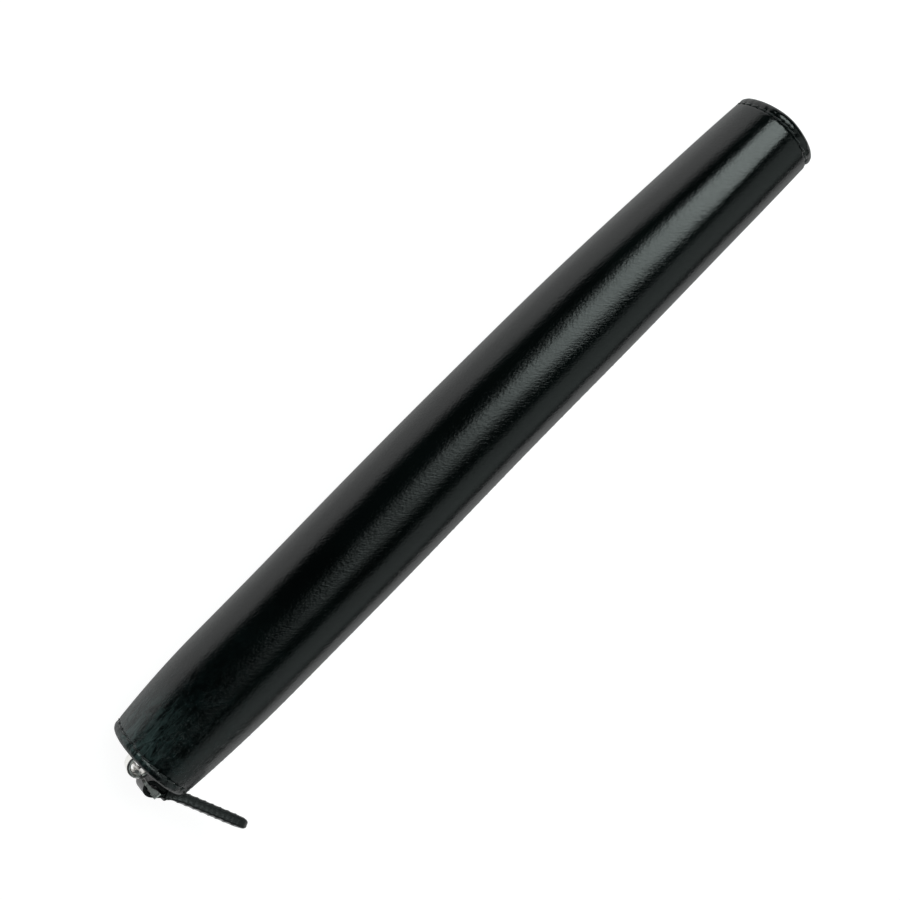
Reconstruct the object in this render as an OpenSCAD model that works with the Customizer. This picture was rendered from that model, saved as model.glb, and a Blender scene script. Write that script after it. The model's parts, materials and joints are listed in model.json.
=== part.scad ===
// Zip-around leather case for one fountain pen.
// X runs along the case from the slider end to the far end, -Y is the long zip side,
// +Y is the spine, and the case lies on its flat belly at z = 0.

/* [Case] */
// Length between the two end planes
case_l = 175; // [150:1:210]
// Half of the body's width at its widest
half_w = 11.05; // [9.5:0.05:14]
// Height of each half, from the parting plane
half_h = 11; // [9.5:0.1:14]
// How much rounder than its flat belly the base is
belly = 1.07; // [1.03:0.01:1.15]
// Radius of the rolled rim at both ends
rim_r = 1; // [0.6:0.1:1.4]

/* [Outline] */
// How far the spine edge draws in at the slider end
spine_near_draw = 1.5; // [0:0.1:2.5]
// How far the spine edge draws in at the far end
spine_far_draw = 4; // [0:0.1:4.5]
// How far the zip edge draws in at the slider end
zip_near_draw = 1.5; // [0:0.1:2]
// How far the zip edge draws in at the far end
zip_far_draw = 0.1; // [0:0.1:2]
// How far the top and belly draw in at the slider end
near_draw = 0.8; // [0:0.1:1.5]
// How far the top draws in at the far end
top_far_draw = 2; // [0:0.1:2.5]
// How far the belly rises at the far end
belly_far_draw = 1.6; // [0:0.1:2]

/* [Walls] */
// Thickness of the outer leather
leather_t = 1.2; // [0.9:0.1:1.6]
// Thickness of the stiffening board and of the zip tape
board_t = 0.5; // [0.4:0.1:0.8]
// Thickness of the lining
lining_t = 0.5; // [0.4:0.1:0.8]
// Layer of glue between two sheets
glue_t = 0.1; // [0.1:0.05:0.2]
// Thickness of the leather end walls
end_t = 1; // [0.8:0.1:1.4]
// Depth of the end walls behind the rim
end_set = 0.3; // [0.2:0.1:0.6]

/* [Zip] */
// Width of one tape half behind the leather's edge
tape_seam = 2.5; // [2:0.1:3.5]
// Distance between two teeth of one row
tooth_pitch = 3.2; // [3:0.1:4]
// Width of one tooth along the zip
tooth_w = 1.2; // [1:0.1:1.3]
// Thickness of one tooth
tooth_t = 1.7; // [1.4:0.1:2]
// Reach of a tooth past the middle of the zip
tooth_reach = 0.9; // [0.7:0.1:1]
// Distance from the middle of the zip to the edge of a tape
tape_edge = 1.6; // [1.4:0.1:2]

/* [Slider] */
// Where the slider is parked, from the middle of the end face towards the spine
slider_y = 1; // [0.5:0.1:1.5]
// Length of the slider along the zip
slider_l = 8.6; // [8:0.1:9.2]
// Width of the slider across the zip
slider_w = 6.6; // [6:0.1:8]
// Thickness of each slider plate
plate_t = 0.9; // [0.7:0.1:1.1]
// Half the length of the crown
crown_r = 2.5; // [2.4:0.1:3]
// Width of the crown
crown_w = 2.8; // [2.2:0.1:3]
// Wall of the crown
crown_t = 0.9; // [0.7:0.1:1]
// Height of the crown's straight legs
crown_leg = 1.1; // [1:0.1:2.2]

/* [Pull] */
// Distance between the ring's two pins
ring_l = 5.4; // [5:0.1:6.5]
// Diameter of the ring's pins
pin_d = 0.9; // [0.8:0.1:1]
// Thickness of the ring's side plates
ring_t = 0.8; // [0.6:0.1:0.8]
// Width of the leather pull
pull_w = 6; // [5:0.1:7]
// Length of the leather pull from its pin
pull_l = 20; // [16:0.5:30]
// Thickness of one layer of the pull
pull_t = 1; // [0.8:0.1:1.2]
// Angle between the ring and the end face
ring_lean = 8; // [8:1:14]
// Angle of the pull towards the long side
pull_lean = 18.6; // [12:0.1:20]

/* [Hidden] */
$fn = 48;

// Clearance between pieces that move past each other
play = 0.3;
// Lengths of the stretches over which the outline draws in
spine_near_run = 26;
spine_far_run = 96;
zip_near_run = 33;
zip_far_run = 52;
near_run = 30;
top_far_run = 90;
belly_far_run = 34;
// Facets round one half wall, on each side of the belly, and along the case
around = 12;
belly_side = 5;
along = 14;
rim_steps = 3;

near_x = -case_l / 2;
far_x = case_l / 2;
parting = half_h;
mouth_gap = 0.7;
mouth = slider_w / 2 + mouth_gap;
tape_a = leather_t + glue_t;
lining_a = tape_a + board_t + glue_t;
wall_t = lining_a + lining_t;

// Depths behind an end plane: end wall, tape, liner, then the room inside
tape_x = end_set + end_t;
liner_x = tape_x + board_t + glue_t;
room_x = liner_x + lining_t;
zip_x = tape_x + board_t / 2;
end_inset = leather_t + glue_t + rim_r - sqrt(pow(rim_r, 2) - pow(rim_r - end_set, 2));

// The hinge line follows the spine from end to end
hinge_out = 0.2;
hinge_fall = 2.4;
hinge_near_y = half_w + hinge_out;
hinge_far_y = hinge_near_y - hinge_fall;

// The gusset keeps inside the circle that the lid's edge sweeps
gusset_end = 0.2;
gusset_y = slider_y - slider_l / 2 - gusset_end;
gusset_top = mouth - play;
lid_cut_y = hinge_near_y - norm([hinge_near_y - gusset_y, gusset_top]) - 0.25;
stop_y = slider_y + slider_l / 2 + play;
stop_w = 1.4;

// Slider, from the zip's middle plane outwards
tooth_room = 0.7;
tape_room = 0.7;
slider_lip = 0.6;
channel = tooth_t + tooth_room;
plate_out = channel / 2 + plate_t;
arch_u = plate_out + crown_leg;
pin_set = 0.8;
pivot_u = arch_u + pin_set;
ring_x = near_x + zip_x - pivot_u;
bar_x = ring_x - ring_l * sin(ring_lean);
bar_y = slider_y - ring_l * cos(ring_lean);

// Places where a wall's edge can lie, as quarters of the section
UP_ZIP = 0;
UP_SPINE = 1;
LOW_SPINE = 2;
LOW_ZIP = 3;

function over(d, run) = pow(max(0, (run - d) / run), 2);
function rim_draw(x) =
    let (d = case_l / 2 - abs(x))
    d >= rim_r ? 0 : rim_r - sqrt(max(0, pow(rim_r, 2) - pow(rim_r - d, 2)));
function spine_w(x) = half_w - rim_draw(x) - spine_near_draw * over(x - near_x, spine_near_run)
    - spine_far_draw * pow(over(far_x - x, spine_far_run), 0.9);
function zip_w(x) = half_w - rim_draw(x) - zip_near_draw * over(x - near_x, zip_near_run)
    - zip_far_draw * over(far_x - x, zip_far_run);
function top_h(x) = half_h - rim_draw(x) - near_draw * over(x - near_x, near_run)
    - top_far_draw * over(far_x - x, top_far_run);
function low_h(x) = half_h - rim_draw(x) - near_draw * over(x - near_x, near_run)
    - belly_far_draw * over(far_x - x, belly_far_run);

// Height and angle of an edge that lies m from the parting plane
function rise(x, a, upper) = upper ? top_h(x) - a : low_h(x) * belly - a;
// An edge lies at height m from the parting plane, or further round the wall by the length past
function edge_turn(up, m, past) = asin(m / up) + past / up * 180 / PI;
function edge(x, a, place, m, past = 0) =
    place == UP_ZIP ? edge_turn(rise(x, a, true), m, past) :
    place == UP_SPINE ? 180 - edge_turn(rise(x, a, true), m, past) :
    place == LOW_SPINE ? 180 + edge_turn(rise(x, a, false), m, past) :
    360 - edge_turn(rise(x, a, false), m, past);
function flat_a(x, a) = acos((low_h(x) - a) / rise(x, a, false));
function spread(from, to, n) = [for (i = [0 : n]) from + (to - from) * i / n];
function angles(x, a, from, to) =
    let (start = edge(x, a, from[0], from[1], len(from) > 2 ? from[2] : 0),
         end = edge(x, a, to[0], to[1], len(to) > 2 ? to[2] : 0))
    from[0] == LOW_SPINE && to[0] == LOW_ZIP
        ? concat(spread(start, 270 - flat_a(x, a), belly_side),
                 spread(270 + flat_a(x, a), end, belly_side))
        : spread(start, end, around);
function section(x, a, angle) = [
    -cos(angle) * ((cos(angle) > 0 ? zip_w(x) : spine_w(x)) - a),
    parting + (sin(angle) >= 0
        ? rise(x, a, true) * sin(angle)
        : -min(low_h(x) - a, -rise(x, a, false) * sin(angle)))
];
function stations(d) =
    let (rim = [for (i = [0 : rim_steps]) rim_r * (1 - cos(90 * i / rim_steps))],
         head = [for (r = rim) if (r > d + 0.01) near_x + r],
         tail = [for (i = [rim_steps : -1 : 0]) if (rim[i] > d + 0.01) far_x - rim[i]],
         from = max(rim_r, d),
         body = spread(near_x + from, far_x - from, along))
    d < rim_r
        ? concat([near_x + d], head, [for (i = [1 : along - 1]) body[i]], tail, [far_x - d])
        : body;

// One curved sheet between two insets, from one edge to another, d short of both ends
module sheet(a, b, from, to, d) {
    xs = stations(d);
    rows = len(xs);
    n = len(angles(xs[0], a, from, to));
    skin = [
        for (inset = [a, b], x = xs, t = angles(x, inset, from, to))
            concat([x], section(x, inset, t))
    ];
    inner = rows * n;
    faces = concat(
        [for (i = [0 : rows - 2], j = [0 : n - 2], k = [0, 1])
            let (p = i * n + j)
            k == 0 ? [p, p + 1, p + n + 1] : [p, p + n + 1, p + n]],
        [for (i = [0 : rows - 2], j = [0 : n - 2], k = [0, 1])
            let (p = inner + i * n + j)
            k == 0 ? [p, p + n + 1, p + 1] : [p, p + n, p + n + 1]],
        [for (i = [0 : rows - 2], k = [0, 1])
            let (p = i * n)
            k == 0 ? [p, p + n, p + n + inner] : [p, p + n + inner, p + inner]],
        [for (i = [0 : rows - 2], k = [0, 1])
            let (p = i * n + n - 1)
            k == 0 ? [p, p + inner, p + n + inner] : [p, p + n + inner, p + n]],
        [for (j = [0 : n - 2], k = [0, 1])
            k == 0 ? [j, j + inner, j + inner + 1] : [j, j + inner + 1, j + 1]],
        [for (j = [0 : n - 2], k = [0, 1])
            let (p = (rows - 1) * n + j)
            k == 0 ? [p, p + 1, p + inner + 1] : [p, p + inner + 1, p + inner]]
    );
    polyhedron(points = skin, faces = faces, convexity = 6);
}

// Flat plate across the case, d behind an end plane
module plate(near, d, t) {
    translate([near ? near_x + d : far_x - d - t, 0, 0])
        rotate([90, 0, 90])
            linear_extrude(t)
                children();
}

// Outline of a half section at the given depth behind an end plane
module half_section(near, d, inset, upper, m) {
    x = near ? near_x + d : far_x - d;
    arc = upper
        ? angles(x, inset, [UP_ZIP, m], [UP_SPINE, m])
        : angles(x, inset, [LOW_SPINE, m], [LOW_ZIP, m]);
    polygon([for (t = arc) section(x, inset, t)]);
}

// The half section's depth is measured where the case is narrower over a plate's thickness
module end_wall(near, upper) {
    plate(near, end_set, end_t)
        half_section(near, max(rim_r, end_set), end_inset, upper, mouth);
}

module end_liner(near, upper) {
    plate(near, liner_x, lining_t)
        half_section(near, liner_x, lining_a + glue_t, upper, mouth);
}

// Band of the tape across an end face, between two heights from the parting plane
module tape_band(near, upper, low, high) {
    side = upper ? 1 : -1;
    intersection() {
        half_section(near, rim_r, tape_a, upper, low);
        translate([-half_w, parting + (upper ? low : -high)])
            square([2 * half_w, high - low]);
    }
}

module tooth_x(x, upper) {
    y = -zip_w(x) + tape_a + board_t / 2;
    translate([x - tooth_w / 2, y - tooth_t / 2, parting + (upper ? -tooth_reach : -tape_edge)])
        cube([tooth_w, tooth_t, tape_edge + tooth_reach]);
}

module tooth_y(near, y, upper) {
    x = near ? near_x + zip_x : far_x - zip_x;
    translate([x - tooth_t / 2, y - tooth_w / 2, parting + (upper ? -tooth_reach : -tape_edge)])
        cube([tooth_t, tooth_w, tape_edge + tooth_reach]);
}

// Teeth of one row: the long side, then the far end face
module tooth_row(upper) {
    shift = upper ? tooth_pitch / 2 : 0;
    first = near_x + zip_x + tooth_t + play;
    last = far_x - zip_x - tooth_t - play;
    for (x = [first + tooth_w / 2 + shift : tooth_pitch : last - tooth_w / 2])
        tooth_x(x, upper);
    for (y = [-zip_w(far_x - zip_x) + 2 + tape_a + shift : tooth_pitch : far_cut_y - tooth_w])
        tooth_y(false, y, upper);
}

base_tooth_y = lid_cut_y + tooth_pitch / 2 - tooth_w / 2 - 0.2;
lid_tooth_y = lid_cut_y - tooth_w / 2 - 0.2;

// At the far end the lid's tape and teeth keep outside the circle swept past the spine strip
strip_y = spine_w(far_x - rim_r) - leather_t - glue_t - lining_t - play;
far_cut_y = hinge_far_y - norm([hinge_far_y - strip_y, gusset_top]) - 0.25;
bottom_y = spine_w(far_x - zip_x) - tape_a - stop_w - 0.9;

// ---- base ----
module base_cover() {
    color("#14211f")
        sheet(0, leather_t, [LOW_SPINE, mouth], [LOW_ZIP, mouth], 0);
}

module base_board() {
    color("#6b5a45")
        sheet(tape_a, tape_a + board_t, [LOW_SPINE, mouth + play],
              [LOW_ZIP, mouth, tape_seam + play], room_x);
}

module base_lining() {
    color("#23262b")
        sheet(lining_a, wall_t, [LOW_SPINE, mouth], [LOW_ZIP, mouth], room_x);
}

module spine_strip() {
    color("#14211f")
        sheet(0, leather_t, [UP_SPINE, mouth - play], [LOW_SPINE, mouth], 0);
}

module spine_lining() {
    color("#23262b")
        sheet(tape_a, tape_a + lining_t, [UP_SPINE, mouth - play],
              [LOW_SPINE, mouth - play / 2], room_x);
}

module base_near_end() {
    color("#14211f") end_wall(true, false);
}

module base_far_end() {
    color("#14211f") end_wall(false, false);
}

module base_near_liner() {
    color("#23262b") end_liner(true, false);
}

module base_far_liner() {
    color("#23262b") end_liner(false, false);
}

module base_tape() {
    color("#101214") {
        sheet(tape_a, tape_a + board_t, [LOW_ZIP, mouth, tape_seam], [LOW_ZIP, tape_edge],
              tape_x + board_t / 2);
        for (near = [true, false])
            plate(near, tape_x, board_t)
                tape_band(near, false, tape_edge, mouth + tape_seam);
    }
}

module base_teeth() {
    color("silver") {
        tooth_row(false);
        for (y = [base_tooth_y, base_tooth_y - tooth_pitch])
            tooth_y(true, y, false);
    }
}

// Closed end of the zip: the upper tape round the slider and the sewn panel beside the spine
module end_gusset() {
    far_y = spine_w(near_x + rim_r) - tape_a - glue_t;
    panel_y = stop_y + stop_w + 0.1;
    color("#101214")
        plate(true, tape_x, board_t)
            intersection() {
                half_section(true, rim_r, tape_a, true, 0);
                union() {
                    translate([gusset_y, parting + tape_edge])
                        square([far_y - gusset_y, gusset_top - tape_edge]);
                    translate([panel_y, parting])
                        square([far_y - panel_y, gusset_top]);
                }
            }
}

module top_stop() {
    color("silver")
        translate([near_x + zip_x - tooth_t / 2, stop_y, parting - tape_edge])
            cube([tooth_t, stop_w, 2 * tape_edge]);
}

module bottom_stop() {
    color("silver")
        translate([far_x - zip_x - tooth_t / 2, bottom_y, parting - tape_edge])
            cube([tooth_t, stop_w, 2 * tape_edge - play]);
}

// ---- lid ----
module lid_cover() {
    color("#14211f")
        sheet(0, leather_t, [UP_ZIP, mouth], [UP_SPINE, mouth], 0);
}

module lid_board() {
    color("#6b5a45")
        sheet(tape_a, tape_a + board_t, [UP_ZIP, mouth, tape_seam + play],
              [UP_SPINE, mouth + play], room_x);
}

module lid_lining() {
    color("#23262b")
        sheet(lining_a, wall_t, [UP_ZIP, mouth], [UP_SPINE, mouth], room_x);
}

module lid_near_end() {
    color("#14211f") end_wall(true, true);
}

module lid_far_end() {
    color("#14211f") end_wall(false, true);
}

module lid_near_liner() {
    color("#23262b") end_liner(true, true);
}

module lid_far_liner() {
    color("#23262b") end_liner(false, true);
}

module lid_tape() {
    color("#101214") {
        sheet(tape_a, tape_a + board_t, [UP_ZIP, tape_edge], [UP_ZIP, mouth, tape_seam],
              tape_x + board_t / 2);
        for (near = [true, false])
            plate(near, tape_x, board_t)
                difference() {
                    tape_band(near, true, tape_edge, mouth + tape_seam);
                    translate([near ? lid_cut_y : far_cut_y, parting])
                        square([2 * half_w, mouth]);
                }
    }
}

module lid_teeth() {
    color("silver") {
        tooth_row(true);
        tooth_y(true, lid_tooth_y, true);
    }
}

// ---- slider ----
module slider_frame() {
    translate([near_x + zip_x, slider_y, parting])
        mirror([1, 0, 0])
            children();
}

// Plate outline in the end plane: shoulders towards the spine, a narrower tail towards the zip
slider_tail = 0.8;
slider_chamfer = 0.5;
slider_shoulder = [1, 1.2];
module slider_outline() {
    l = slider_l / 2;
    w = slider_w / 2;
    half = [
        [-l, w - slider_tail - slider_chamfer], [-l + slider_chamfer, w - slider_tail],
        [0, w - slider_tail], [l * 0.4, w], [l - slider_shoulder[0], w],
        [l, w - slider_shoulder[1]]
    ];
    polygon([
        for (p = half) p,
        for (i = [len(half) - 1 : -1 : 0]) [half[i][0], -half[i][1]]
    ]);
}

module slider_slab(u, t) {
    translate([u, 0, 0])
        rotate([90, 0, 90])
            linear_extrude(t)
                children();
}

module slider_body() {
    slot = board_t + tape_room;
    lane = slider_w - 2 * (slider_tail + slider_lip);
    // The post that parts the two rows of teeth
    post = [slider_l * 0.14, slider_l * 0.255, slider_l * 0.45];
    post_w = slider_l * 0.105;
    color("silver")
        slider_frame() {
            for (u = [channel / 2, -plate_out])
                slider_slab(u, plate_t)
                    slider_outline();
            for (u = [slot / 2, -channel / 2])
                slider_slab(u, (channel - slot) / 2)
                    difference() {
                        slider_outline();
                        square([2 * slider_l, lane], center = true);
                    }
            slider_slab(-channel / 2, channel)
                polygon([
                    [post[0], 0], [post[1], post_w], [post[2], post_w],
                    [post[2], -post_w], [post[1], -post_w]
                ]);
        }
}

module slider_crown() {
    leg_y = crown_r - 0.05;
    color("silver")
        slider_frame()
            translate([0, 0, -crown_w / 2])
                linear_extrude(crown_w)
                    difference() {
                        union() {
                            translate([arch_u, 0]) circle(crown_r);
                            translate([plate_out, -leg_y])
                                square([crown_leg, 2 * leg_y]);
                        }
                        translate([arch_u, 0]) circle(crown_r - crown_t);
                        translate([plate_out, -leg_y + crown_t])
                            square([crown_leg, 2 * (leg_y - crown_t)]);
                        translate([plate_out - 2 * crown_r, -crown_r])
                            square([2 * crown_r, 2 * crown_r]);
                    }
}

module lock_spring() {
    spring_t = 0.35;
    spring_w = 1.6;
    half = crown_r - crown_t - 0.2;
    color("silver")
        slider_frame()
            translate([plate_out, -half, -spring_w / 2])
                cube([spring_t, 2 * half, spring_w]);
}

// ---- ring and pull ----
// Local frame: +X along the piece from its pin, Y through it, Z up
module ring_frame() {
    translate([ring_x, slider_y, parting])
        rotate([0, 0, -90 - ring_lean])
            children();
}

module pull_frame() {
    translate([bar_x, bar_y, parting])
        rotate([0, 0, -90 + pull_lean])
            children();
}

module pull_ring() {
    bar_in = crown_w / 2 + play;
    bar_out = pull_w / 2 + play;
    side_w = 0.8;
    past = 0.6;
    shoulder = 2;
    color("silver")
        ring_frame() {
            for (side = [0, 1])
                mirror([0, 0, side])
                    rotate([90, 0, 0])
                        linear_extrude(ring_t, center = true)
                            polygon([
                                [-past, bar_in], [past, bar_in], [shoulder, bar_out],
                                [ring_l + past, bar_out], [ring_l + past, bar_out + side_w],
                                [shoulder - side_w / 2, bar_out + side_w],
                                [-past, bar_in + side_w]
                            ]);
            cylinder(d = pin_d, h = 2 * bar_in + side_w, center = true);
            translate([ring_l, 0, 0])
                cylinder(d = pin_d, h = 2 * bar_out + side_w, center = true);
        }
}

// The fold bulges back past the pin
eye_r = pin_d / 2 + 0.15;
lobe_back = 0.9;
lobe_r = eye_r + 0.1 + pull_t;
tip_r = pull_w * 0.6;

module pull_strap() {
    color("#14211f")
        pull_frame()
            intersection() {
                linear_extrude(pull_w, center = true)
                    difference() {
                        union() {
                            translate([-lobe_back, 0])
                                circle(lobe_r);
                            translate([-lobe_back, -pull_t])
                                square([pull_l + lobe_back, 2 * pull_t]);
                        }
                        circle(eye_r);
                        translate([-lobe_back, 0])
                            circle(lobe_r - pull_t);
                        translate([-lobe_back, -eye_r * 0.8])
                            square([lobe_back, eye_r * 1.6]);
                    }
                rotate([90, 0, 0])
                    linear_extrude(4 * lobe_r, center = true)
                        union() {
                            translate([-2 * lobe_r, -pull_w])
                                square([pull_l - tip_r + 2 * lobe_r, 2 * pull_w]);
                            translate([pull_l - tip_r, 0])
                                circle(tip_r);
                        }
            }
}

module pull_keeper() {
    keeper_t = 0.55;
    keeper_l = 2.2;
    gap = 0.05;
    start = lobe_r + 0.2;
    color("#14211f")
        pull_frame()
            translate([start, 0, 0])
                rotate([90, 0, 90])
                    linear_extrude(keeper_l)
                        difference() {
                            square([2 * (pull_t + gap + keeper_t), pull_w + 2 * (gap + keeper_t)],
                                   center = true);
                            square([2 * (pull_t + gap), pull_w + 2 * gap], center = true);
                        }
}

base_cover();
base_board();
base_lining();
spine_strip();
spine_lining();
base_near_end();
base_far_end();
base_near_liner();
base_far_liner();
base_tape();
base_teeth();
end_gusset();
top_stop();
bottom_stop();
lid_cover();
lid_board();
lid_lining();
lid_near_end();
lid_far_end();
lid_near_liner();
lid_far_liner();
lid_tape();
lid_teeth();
slider_body();
slider_crown();
lock_spring();
pull_ring();
pull_strap();
pull_keeper();
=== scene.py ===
"""Looks of the zip-around leather case for one fountain pen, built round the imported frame."""
import json
import math
import random

import bpy
import numpy as np
from mathutils import Matrix, Vector


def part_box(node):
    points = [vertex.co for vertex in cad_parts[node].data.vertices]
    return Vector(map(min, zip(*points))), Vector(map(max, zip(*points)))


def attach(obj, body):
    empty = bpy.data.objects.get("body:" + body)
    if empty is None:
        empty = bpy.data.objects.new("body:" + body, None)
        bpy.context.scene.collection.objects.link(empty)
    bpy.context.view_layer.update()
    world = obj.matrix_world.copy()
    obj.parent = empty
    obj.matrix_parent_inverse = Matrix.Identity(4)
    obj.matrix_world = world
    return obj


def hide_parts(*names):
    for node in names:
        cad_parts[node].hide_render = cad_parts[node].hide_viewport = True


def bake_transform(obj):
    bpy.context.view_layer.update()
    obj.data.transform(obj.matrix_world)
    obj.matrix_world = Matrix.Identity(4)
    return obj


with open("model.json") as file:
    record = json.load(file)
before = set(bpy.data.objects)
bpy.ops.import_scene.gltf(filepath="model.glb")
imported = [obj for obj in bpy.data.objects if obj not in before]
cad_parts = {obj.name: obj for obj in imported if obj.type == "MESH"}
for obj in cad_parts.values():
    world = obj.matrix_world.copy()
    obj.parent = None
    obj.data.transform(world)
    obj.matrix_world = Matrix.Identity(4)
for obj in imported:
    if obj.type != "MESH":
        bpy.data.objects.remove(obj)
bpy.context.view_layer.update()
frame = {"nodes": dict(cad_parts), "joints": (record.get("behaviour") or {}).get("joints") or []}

MM = 0.001
random.seed(7)

# ---- sizes of the case, in millimetres, as the frame has them ----
cover_low, cover_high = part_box("base_cover")
CASE_L = (cover_high.x - cover_low.x) / MM
NEAR_X, FAR_X = cover_low.x / MM, cover_high.x / MM
HALF_W = 11.05          # half the width where the case is widest
PARTING = 11.0          # height of the parting plane, and half the case's height
BELLY = 1.07            # the belly's round is this much deeper than where the case lies flat
LEATHER_T = 1.15
RIM_R = 1.0             # rounding of the leather at the two ends
LINING_IN = 1.9         # from the outer surface to the lining
LINING_T = 0.45
MOUTH = 4.0             # from the parting plane to the leather's edge beside the zip
EDGE_PAST = 0.1         # the leather and the lining stop this much past the mouth
STITCH_PITCH = 2.35
STITCH_INSET = 1.85     # from an end to its seam
ZIP_STITCH_INSET = 0.8  # from the leather's edge to the seam beside the zip
ROUND = 0.86            # length round the wall to that round a circle of the half width

# How much each line of the case draws in towards an end, and over what length
SPINE_NEAR, SPINE_FAR, SPINE_FAR_POWER = (1.5, 26), (4.0, 96), 0.9
ZIP_NEAR, ZIP_FAR = (1.5, 33), (0.1, 52)
TOP_NEAR, TOP_FAR = (0.8, 30), (2.0, 90)
LOW_NEAR, LOW_FAR = (0.8, 30), (1.6, 34)

LEAST_HEIGHT, LEAST_DROP = 0.1, 1e-3    # keep the belly's round from closing on itself


def over(d, run):
    """1 at an end, falling to 0 where the length of the run is over."""
    return np.maximum(0, (run - d) / run) ** 2


def drawn_in(x, full, near, far, far_power=1):
    """A half width or height of the case, less what it loses towards the two ends."""
    near_by, near_run = near
    far_by, far_run = far
    loss = over(FAR_X - x, far_run) ** far_power
    return full - near_by * over(x - NEAR_X, near_run) - far_by * loss


def spine_w(x):
    return drawn_in(x, HALF_W, SPINE_NEAR, SPINE_FAR, SPINE_FAR_POWER)


def zip_w(x):
    return drawn_in(x, HALF_W, ZIP_NEAR, ZIP_FAR)


def top_h(x):
    return drawn_in(x, PARTING, TOP_NEAR, TOP_FAR)


def low_h(x):
    return drawn_in(x, PARTING, LOW_NEAR, LOW_FAR)


def bell(x, width):
    """1 at x = 0, falling smoothly to nothing past the width."""
    return np.exp(-(x / width) ** 2)


def soft_min(a, b, sharpness=40):
    """The smaller of two heights, with the crease between them rounded off."""
    return (a ** -sharpness + b ** -sharpness) ** (-1 / sharpness)


def wall(x, angle, inset):
    """Points of the case's wall. Angle 0 is the zip, 90 the top, 180 the spine, 270 the belly."""
    a = np.radians(angle)
    side = np.where(np.cos(a) > 0, zip_w(x), spine_w(x)) - inset
    up = np.sin(a)
    top = (top_h(x) - inset) * up
    drop = np.maximum(LEAST_DROP, (low_h(x) * BELLY - inset) * -up)
    low = -soft_min(np.maximum(low_h(x) - inset, LEAST_HEIGHT), drop)
    return np.stack([x, -np.cos(a) * side, PARTING + np.where(up >= 0, top, low)], axis=-1)


def first_angle(x, inset, m):
    """Angle at which the lid's wall is m above the parting plane on the zip side."""
    return np.degrees(np.arcsin(m / (top_h(x) - inset)))


def last_angle(x, inset, m):
    """Angle at which the base's wall is m below the parting plane on the zip side."""
    return 360 - np.degrees(np.arcsin(m / (low_h(x) * BELLY - inset)))


# ---- a material's wires ----
class Wire:
    """A value that flows through a material. Sums and products of wires add Math nodes."""

    def __init__(self, finish, socket):
        self.finish, self.socket = finish, socket

    def math(self, operation, a, b):
        return self.finish.node("ShaderNodeMath", {"operation": operation}, {0: a, 1: b})

    def __add__(self, other):
        return self.math("ADD", self, other)

    def __sub__(self, other):
        return self.math("SUBTRACT", self, other)

    def __mul__(self, other):
        return self.math("MULTIPLY", self, other)

    def top(self, other):
        """The larger of the two, point by point."""
        return self.math("MAXIMUM", self, other)


BLACK_GREEN = (0.0012, 0.0026, 0.0026, 1)


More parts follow.
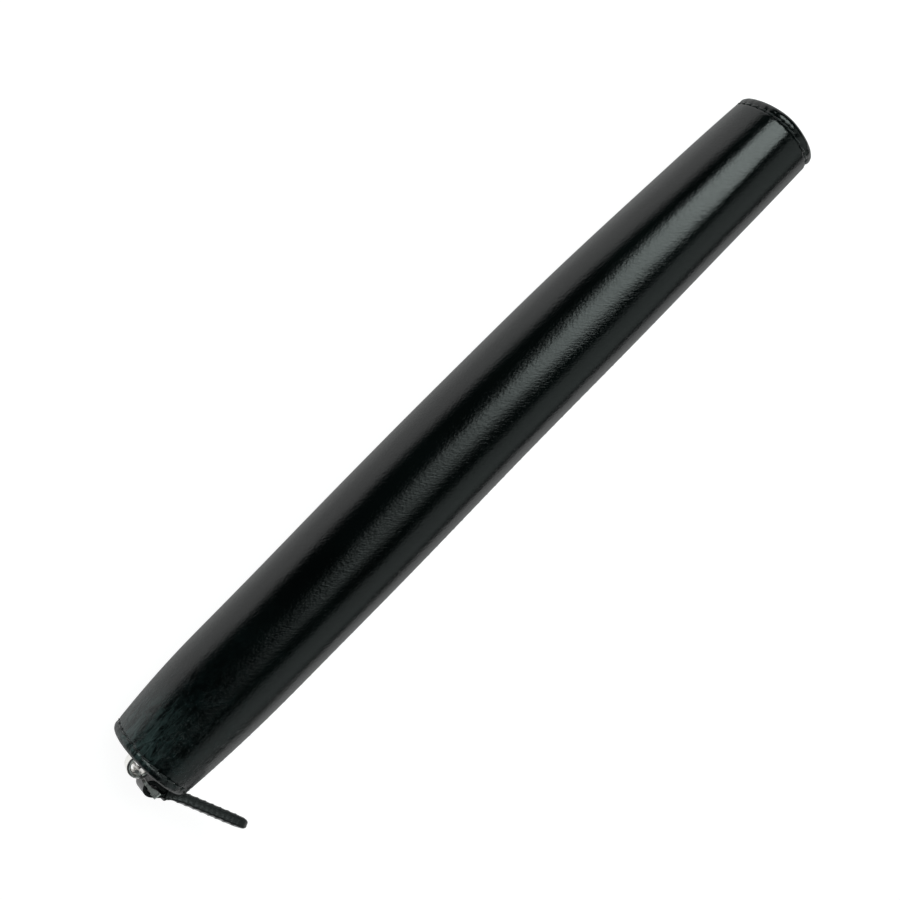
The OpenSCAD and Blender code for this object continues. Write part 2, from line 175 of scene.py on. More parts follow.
class Finish:
    """One material, made by adding nodes and wires."""

    def __init__(self, name, **constants):
        self.material = bpy.data.materials.new(name)
        self.material.use_nodes = True
        self.tree = self.material.node_tree
        self.shader = self.tree.nodes["Principled BSDF"]
        for socket, value in constants.items():
            self.shader.inputs[socket.replace("_", " ")].default_value = value

    def node(self, kind, settings, inputs, output=0):
        """Adds a node with those settings and inputs, and gives one output as a wire."""
        made = self.tree.nodes.new(kind)
        for key, value in settings.items():
            setattr(made, key, value)
        for key, value in inputs.items():
            if isinstance(value, Wire):
                self.tree.links.new(value.socket, made.inputs[key])
            else:
                made.inputs[key].default_value = value
        return Wire(self, made.outputs[output])

    def place(self, stretch=(1, 1, 1), turn=0.0):
        """Object coordinates in millimetres, turned about Z and then stretched."""
        where = self.node("ShaderNodeTexCoord", {}, {}, "Object")
        if turn:
            where = self.node("ShaderNodeMapping", {}, {
                "Vector": where, "Rotation": (0, 0, math.radians(turn))})
        return self.node("ShaderNodeMapping", {}, {
            "Vector": where, "Scale": [s / MM for s in stretch]})

    def noise(self, size, stretch=(1, 1, 1), detail=3.0, roughness=0.55, warp=0.0, turn=0.0):
        """Soft random grain of that size in millimetres."""
        return self.node("ShaderNodeTexNoise", {}, {
            "Vector": self.place(stretch, turn), "Scale": 1 / size, "Detail": detail,
            "Roughness": roughness, "Distortion": warp}, "Fac")

    def cells(self, size, stretch=(1, 1, 1)):
        """Distance from the middles of random cells of that size in millimetres."""
        return self.node("ShaderNodeTexVoronoi", {}, {
            "Vector": self.place(stretch), "Scale": 1 / size}, "Distance")

    def wave(self, direction, scale, distortion, **more):
        """Even stripes, for ribs and twisted thread."""
        return self.node("ShaderNodeTexWave", {"bands_direction": direction}, {
            "Vector": self.place(), "Scale": scale, "Distortion": distortion, **more}, "Fac")

    def remap(self, wire, low, high, to_low=0.0, to_high=1.0):
        """Sends low..high to to_low..to_high and holds it at both ends."""
        return self.node("ShaderNodeMapRange", {"clamp": True}, {
            "Value": wire, "From Min": low, "From Max": high,
            "To Min": to_low, "To Max": to_high})

    def axis(self, name):
        """One Object coordinate in millimetres."""
        return self.node("ShaderNodeSeparateXYZ", {}, {0: self.place()}, name)

    def mix(self, share, a, b):
        """Colour a where the share is 0, b where it is 1."""
        return self.node("ShaderNodeMix", {"data_type": "RGBA"}, {
            "Factor": share, 6: a, 7: b}, 2)

    def feed(self, socket, wire):
        self.tree.links.new(wire.socket, self.shader.inputs[socket])

    def matte_at_edges(self, most):
        """Lets the gloss fade where the surface turns away, as a waxed grain does."""
        facing = self.node("ShaderNodeLayerWeight", {}, {"Blend": 0.5}, "Facing")
        dull = self.node("ShaderNodeBsdfPrincipled", {}, {
            "Base Color": BLACK_GREEN, "Roughness": 0.9, "Specular IOR Level": 0.0})
        gloss = Wire(self, self.shader.outputs[0])
        both = self.node("ShaderNodeMixShader", {}, {
            0: self.remap(facing, 0.3, 0.8, 0.0, most), 1: gloss, 2: dull})
        surface = self.tree.nodes["Material Output"].inputs["Surface"]
        self.tree.links.new(both.socket, surface)

    def bump(self, height, depth, before=None):
        """Adds a Bump node of that depth in millimetres and feeds Normal."""
        inputs = {"Height": height, "Strength": 1.0, "Distance": depth * MM}
        if before is not None:
            inputs["Normal"] = before
        made = self.node("ShaderNodeBump", {}, inputs, "Normal")
        self.feed("Normal", made)
        return made


def case_leather():
    """Smooth black box calf with a green cast, finely grained and scuffed at the slider end, with
    a painted sheen there on the spine side.
    """
    f = Finish("case_leather", IOR=1.42, Coat_Roughness=0.12, Coat_IOR=1.4)
    pores = f.cells(0.5, (0.8, 1.2, 1.2))
    grain = f.noise(0.22, (0.8, 1.3, 1.3), 4.0, 0.6)
    boarding = f.noise(0.42, (0.3, 1.7, 0.8), 3.0, 0.6, 0.4, 48)
    swell = f.noise(9, (0.35, 1, 1), 2.0)
    near = f.remap(f.axis("X"), NEAR_X + 50, NEAR_X + 2)
    blotches = f.remap(f.noise(2.4, (0.8, 0.9, 0.9), 5.0, 0.75, 0.8), 0.48, 0.68)
    creases = f.remap(f.noise(0.7, (0.5, 1.8, 1.8), 4.0, 0.65, 1.2), 0.55, 0.68)
    wear = near * near * (blotches * 0.75 + creases * 0.45)
    deep, lit = (0.0006, 0.0013, 0.0013, 1), (0.0012, 0.0028, 0.0027, 1)
    # The next line holds a scuffed tone, and a light teal for a painted sheen.
    scuffed, painted_sheen_teal = (0.012, 0.026, 0.026, 1), (0.060, 0.092, 0.090, 1)
    tone = f.mix(f.remap(swell, 0.3, 0.7), deep, lit)
    worn = f.mix(wear * 0.7, tone, scuffed)
    # Painted sheen: a lighter teal patch on the spine side at the slider end, over rubbed leather
    # and broken into streaks, stands in for a highlight there.
    rub_and_painted_sheen = f.remap(f.axis("X"), NEAR_X + 16, NEAR_X + 3) * f.remap(f.axis("Y"), 1.5, 6.5)
    sheen_streaks = f.remap(f.noise(1.3, (0.35, 1.5, 1.5), 5.0, 0.7, 1.0), 0.38, 0.66)
    f.feed("Base Color", f.mix(rub_and_painted_sheen * sheen_streaks * 0.85, worn, painted_sheen_teal))
    rough = f.remap(grain, 0.3, 0.75, 0.11, 0.16) + f.remap(swell, 0.3, 0.7, -0.01, 0.02)
    f.feed("Roughness", rough + wear * 0.2)
    f.feed("Coat Weight", f.remap(boarding, 0.35, 0.7, 0.2, 0.02) - wear * 0.02)
    first = f.bump(boarding * 0.8 + grain * 0.2, 0.05)
    second = f.bump(pores, 0.016, first)
    f.bump(swell + wear * 0.3, 0.16, second)
    f.matte_at_edges(0.66)
    return f.material


def pull_leather():
    """Duller black leather with fine pores."""
    f = Finish("pull_leather", IOR=1.4, Coat_Roughness=0.25)
    grain = f.noise(0.2, detail=4.0, roughness=0.6)
    pores = f.cells(0.38)
    deep, lit = (0.0012, 0.0020, 0.0020, 1), (0.0026, 0.0042, 0.0040, 1)
    f.feed("Base Color", f.mix(f.remap(grain, 0.3, 0.7), deep, lit))
    f.feed("Roughness", f.remap(grain, 0.3, 0.75, 0.34, 0.5))
    f.feed("Coat Weight", f.remap(pores, 0.1, 0.6, 0.05, 0.2))
    f.bump(pores, 0.03, f.bump(grain, 0.05))
    return f.material


def edge_paint():
    """Burnished, painted cut edges of the leather."""
    f = Finish("edge_paint", IOR=1.5, Coat_Roughness=0.15, Coat_Weight=0.3)
    bead = f.noise(0.7)
    f.feed("Base Color", f.mix(bead, (0.002, 0.003, 0.003, 1), (0.005, 0.007, 0.007, 1)))
    f.feed("Roughness", f.remap(bead, 0.3, 0.7, 0.26, 0.42))
    f.bump(bead, 0.08)
    return f.material


def thread_finish():
    """Waxed black linen thread."""
    f = Finish("thread", IOR=1.5, Sheen_Weight=0.15, Sheen_Roughness=0.4)
    twist = f.wave("DIAGONAL", 2.2, 0.6)
    f.feed("Base Color", f.mix(twist, (0.002, 0.0035, 0.0035, 1), (0.008, 0.012, 0.012, 1)))
    f.feed("Roughness", f.remap(twist, 0, 1, 0.36, 0.55))
    f.bump(twist, 0.05)
    return f.material


def zip_tape_finish():
    """Woven tape: fine ribs across the tape and warp lines along it."""
    f = Finish("zip_tape", IOR=1.45, Sheen_Weight=0.25, Sheen_Roughness=0.5)
    ribs = f.wave("X", 0.55, 0.25, Detail=1.0)
    crossing = f.wave("Y", 0.55, 0.25, Detail=1.0)
    warp = f.wave("Z", 0.6, 0.3, Detail=1.0)
    weave = ribs.top(crossing) * 0.55 + warp * 0.45
    fuzz = f.noise(0.12, detail=2.0)
    f.feed("Base Color", f.mix(weave, (0.004, 0.005, 0.0055, 1), (0.016, 0.019, 0.02, 1)))
    f.feed("Roughness", f.remap(fuzz, 0.3, 0.7, 0.7, 0.9))
    f.bump(weave, 0.12)
    return f.material


def lining_finish():
    """Dark napped microfibre."""
    f = Finish("lining", IOR=1.4, Sheen_Weight=0.6, Sheen_Roughness=0.45)
    nap = f.noise(0.35, detail=5.0, roughness=0.7)
    brushed = f.noise(6, (0.6, 1, 1), 2.0)
    flat, raised, tips = (0.016, 0.02, 0.021, 1), (0.03, 0.036, 0.038, 1), (0.045, 0.052, 0.055, 1)
    tone = f.mix(f.remap(brushed, 0.35, 0.65), flat, raised)
    f.feed("Base Color", f.mix(f.remap(nap, 0.35, 0.7), tone, tips))
    f.feed("Roughness", f.remap(nap, 0.3, 0.7, 0.85, 1.0))
    f.bump(nap, 0.1)
    return f.material


def nickel(name, low, high):
    """Polished nickel plate with hairline wear and a roughness between low and high."""
    f = Finish(name, Metallic=1.0, IOR=1.5)
    hair = f.noise(0.09, (0.15, 1, 1))
    haze = f.noise(1.4)
    f.feed("Base Color", f.mix(haze, (0.76, 0.75, 0.72, 1), (0.88, 0.87, 0.84, 1)))
    f.feed("Roughness", f.remap(haze, 0.3, 0.7, low, high) + hair * 0.05)
    f.bump(hair, 0.012)
    return f.material


def board_finish():
    """Grey-brown fibre board."""
    f = Finish("board", IOR=1.45)
    fibre = f.noise(0.5, (0.3, 1, 1), 4.0, 0.7)
    f.feed("Base Color", f.mix(fibre, (0.16, 0.12, 0.08, 1), (0.34, 0.27, 0.19, 1)))
    f.feed("Roughness", f.remap(fibre, 0.3, 0.7, 0.8, 0.95))
    f.bump(fibre, 0.06)
    return f.material


# ---- mesh helpers ----
CAD_MERGE, SHEET_MERGE = 1e-6, 2e-6     # points closer than this, in metres, become one
SLANT_PLAY = 3                          # degrees by which hand-set stitches differ
THREAD_R = 0.19


def deselect():
    """Leaves edit mode with nothing selected."""
    if bpy.context.object and bpy.context.object.mode != "OBJECT":
        bpy.ops.object.mode_set(mode="OBJECT")
    bpy.ops.object.select_all(action="DESELECT")


def only(piece):
    """Makes one piece the selected and active one."""
    deselect()
    piece.select_set(True)
    bpy.context.view_layer.objects.active = piece


def apply_all(piece):
    """Turns a piece's modifiers into mesh."""
    only(piece)
    for modifier in list(piece.modifiers):
        bpy.ops.object.modifier_apply(modifier=modifier.name)


def edit(piece, *jobs):
    """Runs mesh operators, each with its settings, on the whole of a piece."""
    only(piece)
    bpy.ops.object.mode_set(mode="EDIT")
    bpy.ops.mesh.select_all(action="SELECT")
    for operator, settings in jobs:
        operator(**settings)
    bpy.ops.object.mode_set(mode="OBJECT")


def points_of(piece):
    """The points of a piece's mesh, one to a row."""
    flat = np.zeros(len(piece.data.vertices) * 3)
    piece.data.vertices.foreach_get("co", flat)
    return flat.reshape(-1, 3)


def set_points(piece, points):
    """Puts a piece's points at places in millimetres."""
    piece.data.vertices.foreach_set("co", (points * MM).ravel())
    piece.data.update()


def sheet(name, columns, rows, place):
    """A grid whose points go where place(u, v) says, in millimetres, with u and v from 0 to 1."""
    deselect()
    bpy.ops.mesh.primitive_grid_add(x_subdivisions=columns, y_subdivisions=rows, size=1)
    piece = bpy.context.object
    piece.name = piece.data.name = name
    flat = points_of(piece)
    set_points(piece, place(flat[:, 0] + 0.5, flat[:, 1] + 0.5))
    return piece


def thicken(piece, thickness, offset=-1.0, rim_slot=0):
    """Gives a sheet its thickness, inwards unless the offset says otherwise."""
    solid = piece.modifiers.new("wall", "SOLIDIFY")
    solid.thickness = thickness * MM
    solid.offset = offset
    solid.use_even_offset = True
    solid.material_offset_rim = rim_slot


def soften(piece, width, segments=2, angle=35):
    """Rounds the edges that are sharper than that angle."""
    bevel = piece.modifiers.new("edges", "BEVEL")
    bevel.width = width * MM
    bevel.segments = segments
    bevel.limit_method = "ANGLE"
    bevel.angle_limit = math.radians(angle)


def smooth(piece, angle):
    """Shades a piece smooth, except at edges sharper than that angle."""
    only(piece)
    bpy.ops.object.shade_smooth_by_angle(angle=math.radians(angle))


def finish_with(piece, *materials):
    """Replaces a piece's materials."""
    piece.data.materials.clear()
    for material in materials:
        piece.data.materials.append(material)


def from_node(name, node, edge, segments=2, angle=35):
    """A copy of a CAD node with merged corners and softened edges, which stands for the node."""
    piece = frame["nodes"][node].copy()
    piece.data = piece.data.copy()
    piece.parent = None
    for key in list(piece.keys()):
        del piece[key]
    bpy.context.scene.collection.objects.link(piece)
    piece.name = piece.data.name = name
    edit(piece, (bpy.ops.mesh.remove_doubles, {"threshold": CAD_MERGE}),
         (bpy.ops.mesh.dissolve_limited, {"angle_limit": math.radians(1)}))
    soften(piece, edge, segments, angle)
    apply_all(piece)
    smooth(piece, 40)
    return piece


def one_stitch(length, radius):
    """A short rounded run of thread along X, as points and faces."""
    deselect()
    bpy.ops.mesh.primitive_uv_sphere_add(segments=8, ring_count=8, radius=radius,
                                         rotation=(0, math.pi / 2, 0))
    ball = bpy.context.object
    bpy.ops.object.transform_apply(rotation=True)
    points = np.array([v.co for v in ball.data.vertices])
    reach = length / 2 - radius
    middle = 1e-4
    points[:, 0] += np.where(points[:, 0] > middle, reach,
                             np.where(points[:, 0] < -middle, -reach, 0))
    faces = [tuple(p.vertices) for p in ball.data.polygons]
    bpy.data.objects.remove(ball)
    return points, faces


def sew(name, seats, length, radius, slant):
    """Thread: one stitch at each seat, a seat being its middle, its run and the wall's normal."""
    shape, faces = one_stitch(length, radius)
    points, joined = [], []
    for middle, run, out in seats:
        run = run / np.linalg.norm(run)
        side = np.cross(out, run)
        lean = math.radians(slant + random.uniform(-SLANT_PLAY, SLANT_PLAY))
        along = run * math.cos(lean) + side * math.sin(lean)
        across = np.cross(out, along)
        start = len(points) * len(shape)
        bow = -0.5 * (shape[:, :1] / (length / 2)) ** 2 * radius * 1.5
        points.append(middle + shape[:, :1] * along + shape[:, 1:2] * across
                      + (shape[:, 2:3] + bow) * out)
        joined += [tuple(i + start for i in face) for face in faces]
    mesh = bpy.data.meshes.new(name)
    mesh.from_pydata((np.concatenate(points) * MM).tolist(), [], joined)
    piece = bpy.data.objects.new(name, mesh)
    bpy.context.scene.collection.objects.link(piece)
    smooth(piece, 60)
    return piece


# ---- camera ----
CAMERA_LIFT, CAMERA_TILT = 65, 45.6         # degrees above the floor, and round its own axis
CAMERA_ALONG, CAMERA_AWAY = -0.014, 0.380   # metres along the case and from it
AIM_ALONG, AIM_ACROSS = -0.0032, -0.0004
LENS, SENSOR = 77.8, 36


def put(name, data, place, right, up, away):
    """A new object at a place, with those directions as its own X, Y and Z."""
    holder = bpy.data.objects.new(name, data)
    turn = Matrix((right, up, away)).transposed().to_4x4()
    holder.matrix_world = Matrix.Translation(place) @ turn
    bpy.context.scene.collection.objects.link(holder)
    return holder


def point_camera():
    """Looks down at the lid from the spine side, with the far end up and to the right."""
    lift = math.radians(CAMERA_LIFT)
    back = Vector((0, math.cos(lift), math.sin(lift)))
    across = Vector((0, -math.sin(lift), math.cos(lift)))
    length = Vector((1, 0, 0))
    tilt = math.radians(CAMERA_TILT)
    middle = Vector((0, 0, PARTING * MM))
    place = middle + length * CAMERA_ALONG + back * CAMERA_AWAY
    aim = middle + length * AIM_ALONG + across * AIM_ACROSS
    away = (place - aim).normalized()
    up = (length * math.sin(tilt) - across * math.cos(tilt)).normalized()
    right = up.cross(away).normalized()
    up = away.cross(right)
    camera = bpy.data.cameras.new("camera")
    camera.lens = LENS
    camera.sensor_width = SENSOR
    camera.clip_start = 0.01
    bpy.context.scene.camera = put("camera", camera, place, right, up, away)
    return back, across


camera_back, camera_across = point_camera()


# ---- studio ----
SOFTBOX_COLOUR = (0.88, 1.0, 0.97)
POOL_MIDDLE, POOL_BRIGHT, POOL_END = (0, -20, 0), 144, 300      # millimetres on the floor, for its painted pool of light
POOL_FAR = 0.5                          # how bright the floor still is past the pool's end
KEY_AWAY, KEY_ACROSS = 0.60, 0.03
# Strips of the key light over the lid, in metres: from X, to X, width, then radiance
KEY_STRIPS = (
    (-0.05, 0.005, 0.26, 0.35), (0.005, 0.06, 0.27, 1.9), (0.06, 0.11, 0.29, 2.3),
    (0.11, 0.16, 0.33, 2.9), (0.16, 0.21, 0.45, 3.6), (0.21, 0.27, 0.66, 4.7),
    (0.27, 0.50, 0.80, 5.2),
)


def softbox(name, place, aim, size, radiance):
    """A rectangular light of that radiance that faces aim, its long side along the case."""
    light = bpy.data.lights.new(name, "AREA")
    light.shape = "RECTANGLE"
    light.size, light.size_y = size
    light.energy = radiance * math.pi * size[0] * size[1]
    light.color = SOFTBOX_COLOUR
    away = (Vector(place) - Vector(aim)).normalized()
    up = away.cross(Vector((1, 0, 0))).normalized()
    holder = put(name, light, Vector(place), up.cross(away), up, away)
    holder.visible_camera = False


def studio():
    """A pale floor that glows, with a painted pool of light brightest under the case, a dim room
    and the soft lights.
    """
    deselect()
    bpy.ops.mesh.primitive_plane_add(size=6, location=(0, 0, 0))
    floor = bpy.context.object
    floor.name = "floor"
    glowing_floor = Finish("floor_light_pool", Roughness=0.9, IOR=1.2, Emission_Strength=0.93)
    # Painted pool of light: the floor's glow and its colour are brightest round the case, then
    # fall to half and darker past the pool's end.
    away = glowing_floor.node("ShaderNodeVectorMath", {"operation": "DISTANCE"},
                      {0: glowing_floor.place(), 1: POOL_MIDDLE}, "Value")
    pool = glowing_floor.remap(away, POOL_BRIGHT, POOL_END, 1.0, POOL_FAR)
    glowing_floor.feed("Emission Color", glowing_floor.mix(pool, (0, 0, 0, 1), (1, 1, 1, 1)))
    glowing_floor.feed("Base Color", glowing_floor.mix(pool, (0.1, 0.1, 0.1, 1), (0.22, 0.22, 0.22, 1)))
    finish_with(floor, glowing_floor.material)
    world = bpy.data.worlds.new("studio")
    world.use_nodes = True
    room = world.node_tree.nodes["Background"].inputs
    room["Color"].default_value = (0.9, 0.95, 1, 1)
    room["Strength"].default_value = 0.012
    bpy.context.scene.world = world
    bpy.context.scene.view_settings.view_transform = "Standard"
    middle = (0, 0, PARTING * MM)
    for start, end, width, radiance in KEY_STRIPS:
        over_lid = Vector(middle) + camera_back * KEY_AWAY + camera_across * KEY_ACROSS
        over_lid.x = (start + end) / 2
        below = Vector((over_lid.x, 0, PARTING * MM))
        softbox("key", over_lid, below, (end - start, width), radiance)
    softbox("zip_side", (0, -0.75, 0.50), middle, (1.6, 0.75), 0.55)
    softbox("above", (0.1, 0.1, 1.6), middle, (0.7, 0.5), 0.5)


studio()

leather, paint, thread = case_leather(), edge_paint(), thread_finish()
strap_leather = pull_leather()
tape_cloth, lining_cloth = zip_tape_finish(), lining_finish()
bright_nickel = nickel("slider_nickel", 0.2, 0.32)
tooth_nickel = nickel("tooth_nickel", 0.2, 0.34)
fibre_board = board_finish()


# ---- cover ----
FINE, FINE_END, BODY_START, BODY_COUNT = 0.14, 3.4, 3.8, 104     # mesh rows along the case
COVER_AROUND = 232
SEAM_GROOVE, SEAM_GROOVE_W = 0.17, 0.34
PUCKER, PUCKER_W = 0.14, 0.45
RIM_WAVE, RIM_WAVE_AT, RIM_WAVE_W = 0.03, 0.9, 0.7
ZIP_GROOVE, ZIP_GROOVE_W = 0.16, 0.3
COVER_SINK = 0.12       # keeps the waves of the leather inside the case's own size
INNER_ROOM = 0.15       # and its inner face clear of the board
FAR_DOME, FAR_DOME_RUN = 0.8, 7     # the lid's far edge stands out by this much


def cover_stations():
    """Places along the case, close together at the rims and their stitches."""
    rim = [RIM_R * (1 - math.cos(math.radians(a))) for a in range(0, 91, 15)]
    head = rim + list(np.arange(RIM_R + FINE, FINE_END, FINE))
    body = np.linspace(BODY_START, CASE_L - BODY_START, BODY_COUNT)
    return np.array([NEAR_X + d for d in head] + [NEAR_X + d for d in body]
                    + [FAR_X - d for d in reversed(head)])


def seam_dip(d, s):
    """Depth of the leather beside a seam: a groove along it that puckers at each needle hole."""
    beat = np.cos(2 * math.pi * s / STITCH_PITCH)
    hole = 0.5 + 0.5 * beat
    groove = SEAM_GROOVE * bell(d - STITCH_INSET, SEAM_GROOVE_W)
    pucker = PUCKER * hole ** 4 * bell(d - STITCH_INSET, PUCKER_W)
    return groove + pucker + RIM_WAVE * beat * bell(d - RIM_WAVE_AT, RIM_WAVE_W)


def cover_point(x, angle, sink=0.0):
    """Outer surface of the leather, with its rolled rims and puckered end seams."""
    d = np.minimum(x - NEAR_X, FAR_X - x)
    rim = np.where(d < RIM_R, RIM_R - np.sqrt(np.maximum(0, RIM_R ** 2 - (RIM_R - d) ** 2)), 0)
    a = np.radians(angle)
    long_wave = 0.10 * np.sin(x / 21 + 0.6) * np.sin(a * 1.5 + 0.4)
    ripple = (long_wave + 0.06 * np.sin(x / 9.5 + a * 2)) * np.clip((d - 4) / 20, 0, 1)
    dip = seam_dip(d, a * HALF_W * ROUND)
    points = wall(x, angle, rim + dip + sink + COVER_SINK + ripple)
    points[..., 0] += FAR_DOME * np.maximum(0, np.sin(a)) ** 1.5 * bell(FAR_X - x, FAR_DOME_RUN)
    return points


def leather_cover():
    """The leather of both halves and the spine, as one skin with painted edges."""
    stations = cover_stations()

    def place(u, v):
        x = np.interp(u, np.linspace(0, 1, len(stations)), stations)
        low = first_angle(x, 0, MOUTH + EDGE_PAST)
        high = last_angle(x, 0, MOUTH + EDGE_PAST)
        from_edge = np.radians((high - low) * np.minimum(v, 1 - v)) * HALF_W
        groove = ZIP_GROOVE * bell(from_edge - ZIP_STITCH_INSET, ZIP_GROOVE_W)
        return cover_point(x, low + (high - low) * v, groove)

    piece = sheet("leather_cover", len(stations) - 1, COVER_AROUND, place)
    finish_with(piece, leather, paint)
    thicken(piece, LEATHER_T - INNER_ROOM, rim_slot=1)
    soften(piece, 0.22, 2, 60)
    apply_all(piece)
    smooth(piece, 50)
    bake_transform(piece)
    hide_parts("base_cover", "lid_cover", "spine_strip")


def cover_thread():
    """End seams right round the case, and both long zip seams."""
    seats = []
    nudge_x, nudge_angle = 0.02, 0.2
    zip_sink, proud = 0.22, 0.06
    end_room, seam_start = 4, 4.5           # degrees from the mouth, and length from an end

    def seat(x, angle, along_x):
        sink = zip_sink if along_x else 0.0
        here = cover_point(np.array(x), np.array(angle), sink)
        far_x = cover_point(np.array(x + nudge_x), np.array(angle), sink) - here
        far_a = cover_point(np.array(x), np.array(angle + nudge_angle), sink) - here
        out = np.cross(far_x, far_a)
        out = out / np.linalg.norm(out)
        seats.append((here + out * proud, far_x if along_x else far_a, out))

    turn = math.degrees(STITCH_PITCH / (HALF_W * ROUND))
    for x in (NEAR_X + STITCH_INSET, FAR_X - STITCH_INSET):
        low, high = first_angle(x, 0, MOUTH) + end_room, last_angle(x, 0, MOUTH) - end_room
        first = math.ceil(low / turn - 0.5) + 0.5
        for i in range(int(high / turn - first) + 1):
            seat(x, (first + i) * turn, False)
    for i in range(int((CASE_L - 2 * seam_start) / STITCH_PITCH)):
        x = NEAR_X + seam_start + (i + 0.5) * STITCH_PITCH
        seat(x, first_angle(x, 0, MOUTH + ZIP_STITCH_INSET), True)
        seat(x, last_angle(x, 0, MOUTH + ZIP_STITCH_INSET), True)
    piece = sew("cover_thread", seats, length=1.95, radius=THREAD_R, slant=9)
    finish_with(piece, thread)
    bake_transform(piece)


def case_lining():
    """The lining of both halves and the spine, as one cloth with slight waves."""
    room, gap = 2.45, 0.02

    def place(u, v):
        x = NEAR_X + room + (CASE_L - 2 * room) * u
        low = first_angle(x, LINING_IN, MOUTH + EDGE_PAST)
        high = last_angle(x, LINING_IN, MOUTH + EDGE_PAST)
        angle = low + (high - low) * v
        soft = 0.05 * np.sin(x / 7 + np.radians(angle) * 3)
        return wall(x, angle, LINING_IN + gap + soft * 0.3)

    piece = sheet("case_lining", 120, 120, place)
    finish_with(piece, lining_cloth)
    thicken(piece, LINING_T)
    soften(piece, 0.12, 2, 60)
    apply_all(piece)
    smooth(piece, 50)
    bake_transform(piece)
    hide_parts("base_lining", "lid_lining", "spine_lining")


def end_walls():
    """The four leather end walls, with rounded edges."""
    for half in ("base", "lid"):
        for end in ("near", "far"):
            piece = from_node(f"{half}_{end}_end_leather", f"{half}_{end}_end", 0.3, 3)
            finish_with(piece, leather)
            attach(piece, half)
            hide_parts(f"{half}_{end}_end")


def zip_metal():
    """Teeth and stops, as cast metal with worn corners."""
    for name, node, body, edge in (
        ("base_zip_teeth", "base_teeth", "base", 0.28),
        ("lid_zip_teeth", "lid_teeth", "lid", 0.28),
        ("top_zip_stop", "top_stop", "base", 0.3),
        ("bottom_zip_stop", "bottom_stop", "base", 0.3),
    ):
        piece = from_node(name, node, edge, 2)
        finish_with(piece, tooth_nickel)
        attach(piece, body)
        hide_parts(node)


def slider_metal():
    """The slider's body and crown, softened like a casting."""
    for name, node, edge in (
        ("slider_casting", "slider_body", 0.2),
        ("slider_bridge", "slider_crown", 0.35),
    ):
        piece = from_node(name, node, edge, 3, 30)
        finish_with(piece, bright_nickel)
        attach(piece, "slider")
        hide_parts(node)


# ---- ring and pull, each in a frame of its own: along it, outwards from the case, up ----
JOINTS = {j["name"]: j for j in frame["joints"]}
UP = np.array([0, 0, 1.0])


def lean_frame(joint, degrees):
    """Pin, run and outward direction of a piece that leans that far towards the case."""
    lean = math.radians(degrees)
    pin = np.array(JOINTS[joint]["pos_m"]) / MM
    run = np.array([math.sin(lean), -math.cos(lean), 0])
    out = np.array([-math.cos(lean), -math.sin(lean), 0])
    return pin, run, out


RING_PIN, RING_RUN, RING_OUT = lean_frame("ring_hinge", -8)
PIN, PULL_RUN, PULL_OUT = lean_frame("pull_hinge", 18.6)
RING_L, RING_SIDE, RING_NARROW = 5.4, 3.7, 2.1      # pin to bar, and half widths at each
ROD_R = 0.44
CHEEK_BACK, CHEEK_PAST = 0.62, 1.3      # start behind the pin, and length beyond pin to bar
CHEEK_T, CHEEK_MORE_T = 0.62, 0.95      # thickness at the crown, and how much it gains at the bar
CHEEK_H, CHEEK_LESS_H = 0.7, 0.15
CHEEK_SET = 0.25                        # the cheeks start this much nearer each other
FLARE_START, FLARE_END = 0.4, 2.4       # measured from the pin
SWELL_START, SWELL_END = 2.0, 0.2       # measured back from the bar


def step(x, start, end):
    """A smooth rise from 0 at the start to 1 at the end."""
    t = np.clip((x - start) / (end - start), 0, 1)
    return t * t * (3 - 2 * t)


def ring_side(side):
    """One cheek of the ring: narrow beside the crown, flared where it holds the bar."""
    deselect()
    bpy.ops.mesh.primitive_cube_add(size=1)
    cheek = bpy.context.object
    edit(cheek, (bpy.ops.mesh.subdivide, {"number_cuts": 15}))
    x, y, z = points_of(cheek).T
    along = -CHEEK_BACK + (x + 0.5) * (RING_L + CHEEK_PAST)
    thick = CHEEK_T + CHEEK_MORE_T * step(along, RING_L - SWELL_START, RING_L - SWELL_END)
    flare = step(along, FLARE_START, FLARE_END)
    height = RING_NARROW - CHEEK_SET + (RING_SIDE - RING_NARROW + CHEEK_SET) * flare
    height = height + z * (CHEEK_H - CHEEK_LESS_H * flare)
    set_points(cheek, RING_PIN + along[:, None] * RING_RUN + (y * thick)[:, None] * RING_OUT
               + (side * height)[:, None] * UP)
    if side < 0:
        edit(cheek, (bpy.ops.mesh.flip_normals, {}))
    return cheek


def ring_rod(at, half):
    """A round pin that stands across the ring."""
    deselect()
    bpy.ops.mesh.primitive_cylinder_add(vertices=32, radius=ROD_R * MM, depth=2 * half * MM,
                                        location=(RING_PIN + at * RING_RUN) * MM)
    bpy.ops.object.transform_apply(location=True)
    return bpy.context.object


def join(first, *others):
    """Makes several pieces one, under the first one's name."""
    only(first)
    for piece in others:
        piece.select_set(True)
    bpy.ops.object.join()
    return first


def ring():
    """Two cheeks, the pin in the crown and the bar in the pull, as one piece of metal."""
    piece = join(ring_side(1), ring_side(-1), ring_rod(0, RING_NARROW),
                 ring_rod(RING_L, RING_SIDE))
    piece.name = piece.data.name = "ring"
    soften(piece, 0.16, 3, 50)
    apply_all(piece)
    smooth(piece, 40)
    finish_with(piece, bright_nickel)
    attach(piece, "ring")
    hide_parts("pull_ring")


PULL_L, PULL_HALF_W, PULL_HALF_T = 21.3, 2.95, 1.12
LOBE_BACK, LOBE_R, LAYER_T = 0.9, 1.22, 0.94        # the strap's fold round the bar
KEEPER_START, KEEPER_END = 1.95, 4.15
TWIST_AT_BAR, TWIST_MORE, TWIST_END = 8, 13, 7.0    # degrees, gained up to this far along
CURL, CURL_POWER = 1.15, 1.3
PULL_STITCH_PITCH, PULL_STITCH_INSET, PULL_STITCH_SINK = 1.75, 0.5, 0.13
BLUNT, TIP_POWER = 0.32, 2.6            # squareness of the bar, and of its tip


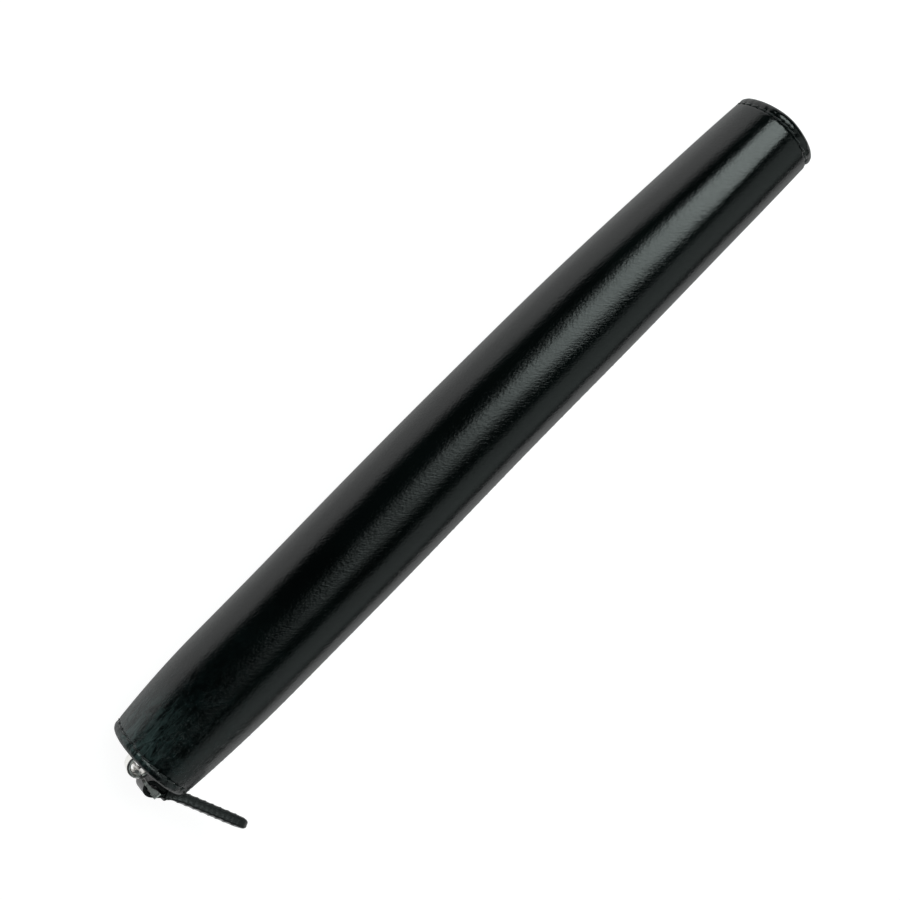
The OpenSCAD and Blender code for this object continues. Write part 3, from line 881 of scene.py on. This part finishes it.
def pull_place(d, n, z):
    """A point of the pull: the leather curls outwards and twists away from the ring's plane."""
    twist = np.radians(TWIST_AT_BAR + TWIST_MORE * step(d, 0.0, TWIST_END))
    n = n + CURL * np.clip(d / PULL_L, 0, 1) ** CURL_POWER
    across = z * np.cos(twist) + n * np.sin(twist)
    out = n * np.cos(twist) - z * np.sin(twist)
    return (PIN + np.multiply.outer(d, PULL_RUN) + np.multiply.outer(out, PULL_OUT)
            + np.multiply.outer(across, UP))


def round_end(d, run):
    """0 at an end and 1 past the run, as a quarter circle rises."""
    return np.sqrt(np.clip(1 - (1 - np.clip(d / run, 0, 1)) ** 2, 0, 1))


def blunt(share):
    """Pushes a circle's sine or cosine out towards a square's corner."""
    return np.sign(share) * np.abs(share) ** BLUNT


def slab(name, start, end, half_t, half_w, tip, wrinkle):
    """A closed bar of leather with burnished edges, between two places along the pull."""
    columns, around = 120, 72
    glue_line, glue_line_w = 0.09, 0.16
    end_round, start_round = 1.7, 0.4       # the first as a share of half the thickness

    def place(u, v):
        d = start + (end - start) * (0.5 - 0.5 * np.cos(math.pi * u))
        a = 2 * math.pi * v
        ca, sa = np.cos(a), np.sin(a)
        end_t = round_end(end - d, half_t * end_round)
        start_t = round_end(d - start, start_round)
        tip_w = (1 - (1 - np.clip((end - d) / tip, 0, 1)) ** TIP_POWER) ** (1 / TIP_POWER)
        joint = glue_line * bell(ca * half_t, glue_line_w)
        crease = wrinkle * (np.sin(d * 5.3 + 2 * a) + 0.6 * np.sin(d * 9.1 - 3 * a))
        n = blunt(ca) * (half_t + crease) * end_t * start_t
        z = blunt(sa) * (half_w + crease - joint) * tip_w * start_t
        return pull_place(d, n, z)

    piece = sheet(name, columns, around, place)
    edit(piece, (bpy.ops.mesh.remove_doubles, {"threshold": SHEET_MERGE}),
         (bpy.ops.mesh.normals_make_consistent, {"inside": False}))
    smooth(piece, 60)
    return piece


def lobe():
    """The strap's fold round the ring's bar, down to where the two layers meet."""
    reach, bend, gap = 3.4, 0.4, 0.03       # the bend takes this share of the sheet

    def place(u, v):
        from_fold = np.abs(u - 0.5) * 2
        side = np.where(u < 0.5, 1.0, -1.0)
        turn = np.clip(from_fold / bend, 0, 1) * math.pi / 2
        run = (from_fold - bend) / (1 - bend)
        d = np.where(run > 0, -LOBE_BACK + (reach + LOBE_BACK) * run,
                     -LOBE_BACK - LOBE_R * np.cos(turn))
        narrow = LOBE_R + (LAYER_T / 2 + gap - LOBE_R) * step(run, 0.0, 0.8)
        n = np.where(run > 0, narrow, LOBE_R * np.sin(turn)) * side
        return pull_place(d, n, (2 * v - 1) * PULL_HALF_W)

    piece = sheet("pull_lobe", 90, 16, place)
    thicken(piece, LAYER_T, 0.0)
    soften(piece, 0.3, 3, 60)
    apply_all(piece)
    smooth(piece, 50)
    return piece


def pull_strap():
    """The folded strap: the stitched bar of two layers, and the fold that holds the ring's bar."""
    piece = slab("pull_strap_leather", 2.6, PULL_L, PULL_HALF_T, PULL_HALF_W,
                 tip=3.2, wrinkle=0.012)
    join(piece, lobe())
    finish_with(piece, strap_leather)
    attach(piece, "pull")
    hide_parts("pull_strap")


def pull_keeper():
    """The band of leather round the strap's neck."""
    piece = slab("pull_keeper_leather", KEEPER_START, KEEPER_END, PULL_HALF_T + 0.45,
                 PULL_HALF_W + 0.5, tip=0.9, wrinkle=0.05)
    finish_with(piece, strap_leather)
    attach(piece, "pull")
    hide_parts("pull_keeper")


def pull_thread():
    """Saddle stitches along both edges of both faces."""
    seats = []
    seam_room, seam_gap, nudge = 6.2, 0.3, 0.1
    for face in (1, -1):
        for row in (1, -1):
            n = (PULL_HALF_T - PULL_STITCH_SINK) * face
            z = (PULL_HALF_W - PULL_STITCH_INSET) * row
            for i in range(int((PULL_L - seam_room) / PULL_STITCH_PITCH)):
                d = KEEPER_END + seam_gap + (i + 0.5) * PULL_STITCH_PITCH
                here = pull_place(d, n, z)
                run = pull_place(d + nudge, n, z) - here
                out = pull_place(d, n + nudge * face, z) - here
                seats.append((here, run, out / np.linalg.norm(out)))
    piece = sew("pull_thread", seats, length=1.35, radius=THREAD_R, slant=10)
    finish_with(piece, thread)
    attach(piece, "pull")


def plain_nodes():
    """CAD nodes whose shape is right get their finish."""
    for node, material in (
        ("base_board", fibre_board), ("lid_board", fibre_board),
        ("base_tape", tape_cloth), ("lid_tape", tape_cloth), ("end_gusset", tape_cloth),
        ("base_near_liner", lining_cloth), ("base_far_liner", lining_cloth),
        ("lid_near_liner", lining_cloth), ("lid_far_liner", lining_cloth),
        ("lock_spring", tooth_nickel),
    ):
        finish_with(frame["nodes"][node], material)


leather_cover()
cover_thread()
case_lining()
end_walls()
zip_metal()
slider_metal()
ring()
pull_strap()
pull_keeper()
pull_thread()
plain_nodes()
